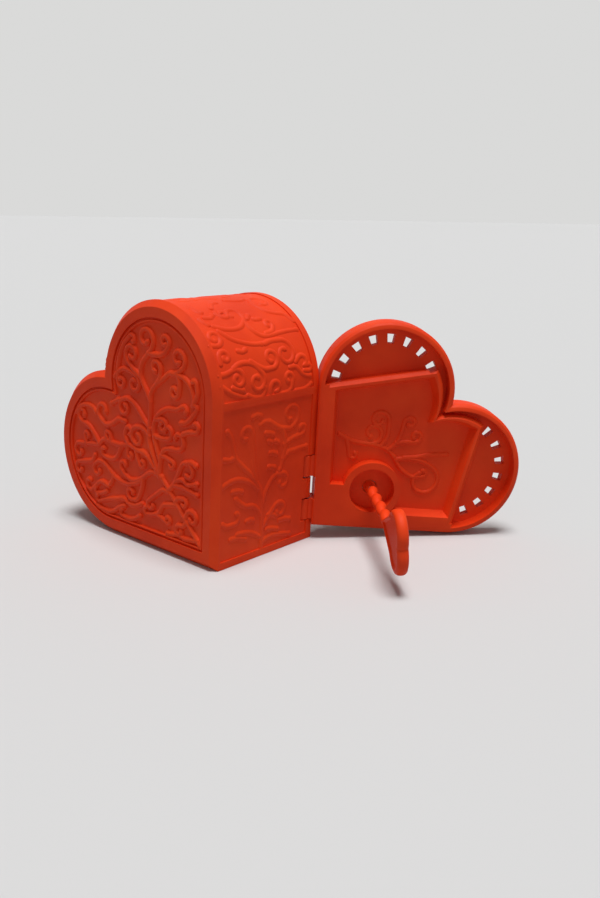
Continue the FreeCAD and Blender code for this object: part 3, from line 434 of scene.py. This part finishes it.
# vines: points of the stem in mm, then the curl's sweep in degrees, first and last radius
frontScroll = {
    "width": 2.4, "thin": 0.78, "height": 0.96, "bud": 1.3, "sunk": 0.15, "peak": 1.2,
    "vines": [
        ([(20.4, 7.7), (11.5, 17.1), (0.8, 28.3)], None),
        ([(0.3, 27.4), (0.8, 31.0), (1.8, 34.8), (3.4, 37.2), (6.5, 38.2), (10.2, 38.4)], (320, 3.4, 0.9)),
        ([(5.0, 23.5), (7.0, 25.0), (9.0, 27.5), (10.3, 30.0), (11.8, 32.8)], (-340, 3.6, 0.9)),
        ([(8.0, 25.9), (13.0, 26.0), (17.5, 25.2), (20.6, 24.6)], None),
        ([(13.4, 15.1), (14.2, 16.8)], (-380, 2.8, 0.8)),
        ([(0.3, 27.4), (-1.5, 32.0), (-3.5, 36.0), (-4.6, 40.0), (-3.7, 47.0), (-3.2, 52.0), (-2.7, 56.0),
          (0.0, 59.0), (4.3, 61.8), (7.0, 63.6), (10.6, 64.2), (13.0, 65.6)], (420, 3.5, 0.9)),
        ([(1.0, 33.0), (-0.5, 37.0), (-1.6, 40.0), (-2.0, 44.0), (-0.8, 47.0), (1.2, 49.3), (4.0, 51.0),
          (7.5, 52.0), (10.5, 52.2), (13.2, 53.4)], (-220, 1.4, 0.8)),
        ([(-4.4, 41.0), (-6.2, 42.4), (-8.6, 43.0), (-10.8, 42.8)], (400, 3.7, 0.9)),
        ([(-3.2, 53.0), (-5.0, 56.0), (-6.8, 58.5), (-7.9, 61.0), (-7.8, 63.5), (-6.5, 66.3), (-4.3, 68.3),
          (-2.2, 70.4)], (430, 4.3, 0.9)),
        ([(-3.4, 69.2), (0.0, 69.0), (2.5, 69.2), (5.0, 70.3), (6.6, 72.0)], (420, 2.3, 0.8)),
        ([(8.4, 63.8), (12.0, 63.6), (15.0, 62.6), (17.3, 60.6), (18.6, 57.5), (19.0, 54.0)], None),
        ([(-22.5, 59.0), (-20.0, 61.2), (-17.0, 62.3), (-14.0, 62.0), (-11.2, 61.1)], (-430, 3.2, 0.9)),
        ([(-8.3, 60.8), (-12.0, 62.9), (-14.4, 64.9)], (-430, 3.6, 0.9)),
        ([(-4.0, 43.6), (-6.5, 45.5), (-9.0, 48.0), (-12.0, 50.8), (-15.0, 52.0), (-17.4, 51.8)],
         (400, 3.2, 0.9)),
        ([(-1.6, 41.4), (1.6, 41.0), (5.0, 41.2)], (330, 2.6, 0.8)),
        ([(0.4, 27.6), (-3.0, 31.0), (-7.0, 34.0), (-11.5, 34.6), (-16.0, 35.6), (-20.0, 34.6), (-25.0, 34.6),
          (-28.5, 35.2), (-31.2, 34.6), (-33.6, 32.6), (-37.0, 32.0), (-41.5, 31.4), (-46.0, 30.9)],
         (330, 3.0, 0.9)),
        ([(-33.6, 32.8), (-36.0, 35.6), (-39.4, 38.4), (-43.5, 39.6)], (-340, 2.7, 0.9)),
        ([(-17.5, 43.8), (-21.0, 44.0), (-23.4, 42.6), (-26.0, 41.2), (-29.0, 40.8), (-31.4, 42.0)],
         (-330, 3.6, 0.9)),
        ([(-19.6, 34.6), (-21.4, 32.4), (-22.6, 30.2), (-25.0, 28.7), (-28.0, 28.3), (-30.6, 28.8)],
         (-250, 1.7, 0.8)),
        ([(0.4, 27.9), (-3.2, 28.1), (-6.0, 26.8), (-9.0, 24.8), (-12.0, 23.4), (-15.2, 22.8), (-18.0, 23.6),
          (-20.2, 25.2)], (-280, 2.2, 0.8)),
        ([(-9.0, 24.2), (-12.0, 22.4), (-14.6, 21.5), (-17.5, 20.8), (-22.0, 21.2), (-25.6, 22.4),
          (-28.4, 24.4), (-31.0, 26.0), (-34.0, 26.2), (-36.2, 25.0)], (300, 2.6, 0.9)),
        ([(-36.6, 27.8), (-38.2, 25.6), (-41.6, 24.6), (-46.6, 23.6)], (300, 2.4, 0.9)),
        ([(-29.0, 17.6), (-32.0, 18.4), (-34.4, 18.0), (-36.6, 16.2), (-38.6, 14.6)], (-300, 2.6, 0.9)),
        ([(-9.5, 15.2), (-13.0, 13.8), (-17.0, 13.6), (-20.0, 14.8), (-24.0, 13.8), (-28.0, 12.9),
          (-31.5, 11.8), (-34.5, 10.6)], (-260, 1.5, 0.8)),
        ([(-19.6, 12.2), (-23.0, 10.8), (-26.0, 8.8), (-29.0, 7.8), (-33.0, 7.9), (-37.0, 8.6)], None),
        ([(-8.6, 24.4), (-9.4, 20.6), (-12.0, 16.4), (-14.6, 15.6)], (-330, 2.5, 0.9)),
        ([(5.2, 22.8), (2.4, 23.0), (0.2, 21.6), (-3.2, 19.2), (-5.4, 17.6)], (300, 1.8, 0.8)),
        ([(8.6, 19.0), (5.0, 18.2), (2.0, 17.2), (0.0, 14.4), (-2.6, 13.0), (-6.4, 12.2)], (-260, 1.5, 0.8)),
        ([(2.0, 35.0), (4.6, 34.8), (7.2, 34.0)], (-300, 1.3, 0.7)),
        ([(9.4, 27.8), (12.4, 28.6), (15.2, 27.5), (18.4, 28.2), (20.6, 28.8)], None),
        ([(8.6, 20.2), (10.2, 21.6), (12.4, 22.0)], (-300, 1.5, 0.7)),
        ([(11.0, 64.2), (12.0, 61.0), (11.6, 58.0)], (-400, 2.2, 0.8)),
        ([(-20.3, 61.0), (-20.9, 58.6)], (400, 2.2, 0.8)),
        ([(12.4, 47.9), (14.8, 48.4), (17.4, 50.2), (19.8, 52.8)], (240, 1.3, 0.7)),
        ([(13.4, 44.4), (16.4, 45.6), (19.2, 45.9)], (260, 1.7, 0.8)),
        ([(-0.6, 47.2), (2.2, 47.6)], (-430, 2.2, 0.8)),
        ([(0.6, 59.6), (2.2, 61.6), (2.6, 64.0)], (330, 2.6, 0.9)),
        ([(-20.8, 61.6), (-19.4, 66.2), (-16.8, 70.8), (-13.4, 74.0)], (-260, 1.6, 0.8)),
        ([(-46.8, 42.6), (-44.0, 45.2), (-40.4, 46.3), (-36.6, 45.8), (-34.0, 43.6)], None),
        ([(-30.0, 15.4), (-33.0, 14.0), (-35.6, 13.4)], (-240, 1.3, 0.7)),
        ([(-11.0, 10.4), (-13.6, 8.8), (-17.0, 7.8), (-20.6, 8.0)], (-240, 1.6, 0.8)),
        ([(14.0, 13.8), (12.4, 12.4), (10.4, 12.1)], (330, 1.8, 0.8)),
        ([(19.4, 8.9), (16.6, 8.4), (13.0, 8.0), (9.6, 8.6), (6.4, 7.9), (3.0, 7.8)], None),
        ([(-1.0, 13.2), (1.6, 12.4), (3.8, 11.6)], (300, 1.2, 0.7)),
        ([(-16.0, 35.6), (-18.0, 38.4), (-17.4, 40.6)], (-300, 1.8, 0.8)),
        ([(-12.0, 34.6), (-11.4, 31.8), (-10.2, 29.6)], (300, 1.5, 0.7)),
        ([(-16.6, 35.4), (-17.0, 32.6)], (300, 1.6, 0.7)),
        ([(-25.6, 22.4), (-26.8, 19.8), (-28.6, 18.0)], None),
        ([(-26.0, 34.8), (-26.6, 37.0)], (300, 1.5, 0.7)),
        ([(-41.5, 31.4), (-42.2, 34.0)], (-300, 1.4, 0.7)),
        ([(-20.6, 51.0), (-23.4, 49.8), (-26.0, 48.4)], None),
        ([(18.9, 55.6), (20.6, 58.4), (20.4, 61.4)], (200, 1.2, 0.7)),
        ([(14.6, 34.6), (17.2, 35.4), (20.4, 34.2)], None),
    ],
}
# a thin bead follows one half of the heart, drawn in by the inset: up the side, then round the lobe
frontBead = {"width": 0.9, "thin": 1.0, "height": 0.9, "bud": 0.0, "sunk": 0.15, "peak": 1.0, "inset": 6.7}


def beadPath(look):
    radius = heart["lobe"] - look["inset"]
    corner = tip + axis * look["inset"] / np.sin(radians(heart["tipAngle"] / 2))
    across = np.array([axis[2], 0, -axis[0]])
    span = (lobeCentre - tip) @ across
    first = np.arctan2(sideOut[2], sideOut[0])
    last = np.arctan2(across[2], across[0]) + np.arccos(-span / radius)
    turn = np.linspace(first, last, 120)[:, None]
    arc = lobeCentre + radius * np.hstack([np.cos(turn), 0 * turn, np.sin(turn)])
    side = corner + np.linspace(0, 1, 60)[:-1, None] * (arc[0] - corner)
    return np.vstack([side, arc])[:, [0, 2]]


frontBead["vines"] = [beadPath(frontBead)]
wallScroll = {
    "width": 2.4, "thin": 0.75, "height": 0.395, "bud": 1.2, "sunk": 0.15, "peak": 2.0,
    "vines": [
        ([(22.5, 3.4), (22.5, 12.0), (22.0, 17.0), (21.5, 22.0), (20.5, 25.0), (18.5, 28.0), (16.0, 31.0),
          (13.8, 32.9), (11.0, 35.5), (8.8, 38.0), (8.0, 41.0), (6.5, 45.5), (4.2, 48.0)], None),
        ([(18.6, 28.4), (17.5, 33.0), (17.0, 38.0), (16.4, 44.4)], (330, 3.0, 0.9)),
        ([(3.8, 29.0), (7.0, 30.0), (11.0, 30.0), (15.0, 28.5), (18.0, 26.4), (20.6, 24.0)], None),
        ([(3.8, 38.0), (6.5, 37.5), (8.8, 38.2)], None),
        ([(9.6, 23.4), (11.6, 21.6), (14.4, 19.8), (17.4, 19.4), (20.0, 17.6), (22.2, 14.6)], None),
        ([(3.8, 15.8), (5.8, 14.7), (9.0, 14.7)], (220, 2.4, 0.8)),
        ([(11.0, 10.6), (15.0, 10.2), (18.4, 9.1), (22.2, 6.6)], None),
        ([(22.4, 18.6), (23.6, 22.6), (25.8, 26.2), (28.4, 28.1), (31.4, 28.0)], (-330, 3.0, 0.9)),
        ([(24.4, 47.4), (27.0, 45.8), (30.0, 44.3), (33.0, 43.8)], (430, 4.8, 1.0)),
        ([(31.0, 43.8), (32.2, 40.0), (32.2, 36.0), (31.0, 31.0), (29.6, 28.6)], None),
        ([(31.8, 33.4), (34.4, 35.2), (37.0, 35.3), (40.0, 35.6), (44.4, 35.6)], None),
        ([(32.2, 38.6), (36.5, 39.9), (40.4, 40.4)], (300, 2.0, 0.8)),
        ([(22.6, 10.0), (25.4, 13.4), (28.2, 16.4)], (-360, 3.2, 0.9)),
        ([(22.6, 5.0), (27.0, 6.0), (32.0, 5.4), (37.6, 4.0)], None),
        ([(8.0, 9.6), (11.6, 9.2), (15.8, 7.6)], None),
        ([(15.2, 14.4), (17.0, 14.5), (18.8, 13.4)], None),
        ([(8.2, 26.4), (10.6, 26.2), (13.2, 25.0)], None),
        ([(25.6, 14.1), (28.0, 13.6), (30.2, 12.2)], None),
        ([(25.0, 8.9), (28.0, 8.5), (31.2, 7.3)], None),
        ([(31.4, 10.9), (34.2, 10.6), (37.4, 9.6)], None),
        ([(24.8, 31.6), (26.6, 31.3), (28.4, 30.1)], None),
        ([(25.4, 36.5), (27.2, 36.2), (29.0, 35.0)], None),
        ([(24.2, 40.8), (26.6, 39.8)], None),
        ([(27.6, 40.2), (29.8, 39.2)], None),
        ([(22.8, 43.8), (25.0, 43.4), (27.0, 42.4)], None),
        ([(16.4, 50.4), (18.6, 50.8), (20.6, 49.6)], None),
        ([(20.2, 47.2), (22.4, 47.9), (24.8, 47.2)], None),
    ],
}
lobeScroll = {
    "width": 2.2, "thin": 0.78, "height": 0.39, "bud": 1.15, "sunk": 0.15, "peak": 2.0,
    "vines": [
        ([(2.8, 10.2), (5.6, 10.4), (8.6, 11.2)], (-420, 3.3, 0.8)),
        ([(9.0, 11.7), (11.6, 12.9), (15.0, 13.1), (18.2, 12.0), (20.6, 9.8)], (-400, 3.9, 1.0)),
        ([(17.2, 13.2), (20.0, 11.3), (23.0, 10.0), (26.0, 10.0)], (420, 3.5, 0.8)),
        ([(2.8, 6.5), (6.0, 4.4), (9.6, 2.8), (13.4, 1.7)], None),
        ([(7.4, 5.6), (9.6, 4.9), (12.8, 4.0)], None),
        ([(13.8, 2.3), (16.2, 1.3), (19.0, 1.1)], (150, 2.6, 1.8)),
        ([(24.0, 0.9), (24.2, 3.0)], (-330, 2.6, 0.8)),
        ([(27.4, 0.9), (31.4, 0.9), (34.2, 2.0), (35.2, 4.6)], (330, 2.2, 0.8)),
        ([(36.6, 0.9), (40.4, 1.0), (43.2, 1.9), (45.0, 3.0)], None),
        ([(34.6, 9.3), (37.4, 9.2), (39.6, 7.0), (41.8, 5.7), (45.0, 5.3)], None),
        ([(37.8, 11.0), (39.4, 12.2)], (-260, 2.5, 1.0)),
        ([(41.4, 7.4), (43.2, 7.2)], (260, 1.3, 0.7)),
        ([(9.2, 25.2), (12.4, 22.0), (16.2, 20.2), (20.8, 19.0), (25.6, 18.7)], None),
        ([(26.0, 18.7), (29.2, 19.4), (33.0, 19.4)], (-440, 5.0, 0.9)),
        ([(2.8, 20.2), (5.0, 20.0)], (430, 3.0, 0.8)),
        ([(4.2, 14.0), (4.5, 15.8)], (-400, 2.3, 0.7)),
        ([(13.2, 17.3), (15.2, 16.9), (17.4, 17.9)], None),
        ([(8.5, 27.4), (12.0, 25.9), (16.0, 25.4), (19.6, 26.1), (22.2, 28.0)], (330, 4.2, 0.9)),
        ([(5.2, 31.2), (6.0, 29.2), (7.6, 27.6)], None),
        ([(7.6, 31.6), (10.2, 31.4), (12.8, 33.4)], None),
        ([(13.8, 33.4), (14.6, 32.0)], (340, 2.1, 0.8)),
        ([(22.6, 27.4), (23.8, 24.0), (26.4, 21.8), (29.4, 21.4), (33.0, 21.8), (38.0, 22.3), (45.0, 22.5)],
         None),
        ([(29.0, 22.3), (32.0, 22.9), (33.6, 24.4)], (330, 1.9, 0.8)),
        ([(30.2, 28.7), (28.2, 28.5), (26.4, 29.2)], None),
        ([(25.0, 29.4), (27.4, 31.6)], None),
        ([(45.0, 26.2), (43.0, 29.6), (39.4, 30.7), (36.2, 32.2), (34.6, 35.2)], (-400, 4.6, 1.0)),
        ([(24.8, 41.4), (27.8, 40.5), (31.2, 40.3), (34.4, 41.6)], None),
        ([(7.0, 37.0), (7.6, 34.9), (9.4, 34.2)], None),
        ([(14.4, 36.4), (17.0, 39.4), (20.6, 40.6)], None),
    ],
}
doorScroll = {
    "width": 1.8, "thin": 0.8, "height": 0.6, "bud": 1.0, "sunk": 0.15, "peak": 1.6,
    "vines": [
        ([(3.6, 36.8), (1.0, 36.5), (-3.0, 35.0), (-6.5, 31.8)], None),
        ([(-6.5, 31.6), (-11.0, 32.2), (-16.0, 31.6), (-19.6, 30.0)], (330, 6.0, 3.0)),
        ([(-6.6, 31.2), (-8.6, 28.4), (-11.0, 26.6), (-13.6, 25.4), (-17.2, 25.8)], (-250, 1.3, 0.7)),
        ([(-9.5, 32.4), (-14.0, 33.0), (-19.0, 34.3), (-26.0, 35.0)], None),
        ([(15.0, 39.8), (11.4, 37.9), (8.0, 37.0), (4.0, 36.8)], (-400, 4.1, 1.0)),
        ([(12.4, 38.4), (11.2, 34.6), (10.8, 32.4)], (-280, 1.5, 0.7)),
        ([(-0.4, 36.2), (-2.4, 40.0), (-2.4, 45.4)], (-400, 3.6, 0.9)),
        ([(-3.2, 34.9), (-6.2, 38.0), (-7.4, 42.0), (-7.8, 45.4)], (360, 2.3, 0.8)),
        ([(-6.0, 37.8), (-9.6, 38.4), (-12.6, 38.6)], (-360, 2.2, 0.8)),
    ],
}
scrollwork("frontScroll", frontScroll, [onFront], "case", "case")
scrollwork("frontBead", frontBead, [onFront, onFrontMirrored], "case", "case")
scrollwork("wallScroll", wallScroll, [onWall], "case", "case")
scrollwork("rightLobeScroll", lobeScroll, [onLobe, onLobeTop], "case", "case")
scrollwork("leftLobeScroll", lobeScroll, [onFarLobe, onFarLobeTop], "case", "case")
scrollwork("doorScroll", doorScroll, [onDoor], "door", "door")
print("scrollwork raised")


# winding key in mm: a twisted stem with a collar in the door's hole, and a heart handle on its end
windingKey = {"stemStart": -5.4, "stemLength": 31.0, "core": 1.15, "bulge": 0.95, "pitch": 7.8, "turn": 8.0,
              "collar": 2.4, "collarEnd": -4.9, "width": 21.4, "length": 27.0, "tipAt": 27.5, "lobe": 7.276,
              "thickness": 3.8, "dish": 0.7}
keySpot = hingePoint + (np.array(joints["key_turn"]["pos_m"]) - hingePoint) @ np.array(swing)


# from the shut door: across and up from the key's axis, and out from the door's face
def onKey(across, up, out):
    turn = radians(windingKey["turn"])
    x = across * np.cos(turn) + up * np.sin(turn)
    z = up * np.cos(turn) - across * np.sin(turn)
    return swung(stack3(keySpot[0] + x * 0.001, (backY + out) * 0.001, keySpot[2] + z * 0.001))


# twisted stem: above the collar the radius swells once round, and the swell turns as it goes out
def twistedStem(key):
    out = np.linspace(key["stemStart"], key["stemLength"], 150)[:, None]
    turn = np.linspace(0, 2 * np.pi, 40, endpoint=False)
    radius = key["core"] + key["bulge"] * np.abs(np.sin(turn / 2 + np.pi * out / key["pitch"]))
    radius = np.where(out < key["collarEnd"], key["collar"], radius)
    points = onKey(radius * np.cos(turn), radius * np.sin(turn), out)
    return points.reshape(-1, 3), ringFaces(*radius.shape)


# heart handle: its outline drawn in by a share, while the side view goes from dish to rim and back
def heartHandle(key):
    offset = key["width"] / 2 - key["lobe"]
    rise = key["length"] - key["lobe"]
    reach = np.hypot(offset, rise)
    bend = np.arctan2(offset, rise) + np.arcsin(key["lobe"] / reach)
    notch = np.arccos(offset / key["lobe"])
    turn = np.linspace(bend - np.pi / 2, np.pi - notch, 46)
    arc = np.stack([offset + key["lobe"] * np.cos(turn), rise + key["lobe"] * np.sin(turn)], 1)
    side = np.linspace(0, 1, 24)[:, None] * arc[0]
    half = np.vstack([side[:-1], arc])
    outline = np.vstack([half, (half * [-1, 1])[-2:0:-1]]) - [0, key["length"] / 2]
    thick = key["thickness"] / 2
    floor = thick - key["dish"]
    profile = [(0.05, floor), (0.45, floor), (0.74, floor), (0.79, floor + 0.1), (0.82, thick - 0.25),
               (0.86, thick - 0.03), (0.90, thick - 0.03), (0.95, thick - 0.3), (0.98, thick - 0.8),
               (0.995, 0.45)]
    share, depth = np.array(profile + [(s, -d) for s, d in profile[::-1]]).T
    flat = share[:, None, None] * outline
    out = key["tipAt"] + key["length"] / 2 + flat[..., 1]
    points = onKey(depth[:, None] + 0 * out, flat[..., 0], out)
    return points.reshape(-1, 3), ringFaces(*out.shape)


stem = addPiece("keyStem", *twistedStem(windingKey), "key", "door")
handle = addPiece("keyHandle", *heartHandle(windingKey), "key", "door")
for piece in (stem, handle):
    shell = bmesh.new()
    shell.from_mesh(piece.data)
    bmesh.ops.recalc_face_normals(shell, faces=shell.faces)
    shell.to_mesh(piece.data)
    shell.free()
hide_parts("winding_key")
print("key made")


# floor, world and two soft suns; floor and world look paler than the light that they give
studio = {"floor": 0.66, "bounce": 0.40, "backdrop": 0.70, "world": 0.18, "reach": 40.0, "drop": 0.0001}
# each sun: the way its light goes, its angle in degrees and its strength
suns = {"overLight": ((-0.13, 0.06, -0.99), 24, 2.8), "frontLight": ((-0.55, 0.70, -0.45), 70, 0.15)}


# a level that camera, glossy and transmission rays see, and another for the light that goes on
def seenLevel(tree, seen, lit):
    rays = addNode(tree, "ShaderNodeLightPath").outputs
    direct = rays["Is Camera Ray"]
    for kind in ("Is Glossy Ray", "Is Transmission Ray"):
        direct = addNode(tree, "ShaderNodeMath", {0: direct, 1: rays[kind]}, operation="MAXIMUM").outputs[0]
    levels = addNode(tree, "ShaderNodeMapRange", {"Value": direct, "To Min": lit, "To Max": seen})
    return levels.outputs["Result"]


def makeStudio(values):
    side = np.array([-1, 1]) * values["reach"]
    x, y = np.meshgrid(side, side)
    corners = np.stack([x.ravel(), y.ravel(), np.full(4, -values["drop"])], 1)
    mesh = bpy.data.meshes.new("floor")
    mesh.from_pydata(corners.tolist(), [], [(0, 1, 3, 2)])
    floor = link(bpy.data.objects.new("floor", mesh))
    material, tree, shader, _ = startMaterial("paleFloor")
    tree.links.new(seenLevel(tree, values["floor"], values["bounce"]), shader.inputs["Base Color"])
    shader.inputs["Roughness"].default_value = 0.8
    shader.inputs["Specular IOR Level"].default_value = 0.1
    mesh.materials.append(material)
    world = bpy.data.worlds.new("studio")
    world.use_nodes = True
    bpy.context.scene.world = world
    tree = world.node_tree
    sky = tree.nodes["Background"]
    sky.inputs["Color"].default_value = (1, 1, 0.99, 1)
    tree.links.new(seenLevel(tree, values["backdrop"], values["world"]), sky.inputs["Strength"])
    for name, (ray, angle, power) in suns.items():
        lamp = bpy.data.lights.new(name, "SUN")
        lamp.angle = radians(angle)
        lamp.energy = power
        obj = link(bpy.data.objects.new(name, lamp))
        obj.rotation_euler = Vector(ray).to_track_quat("-Z", "Y").to_euler()


makeStudio(studio)
aimCamera(cameraView)
bpy.context.scene.view_settings.view_transform = "Standard"
print("studio set")
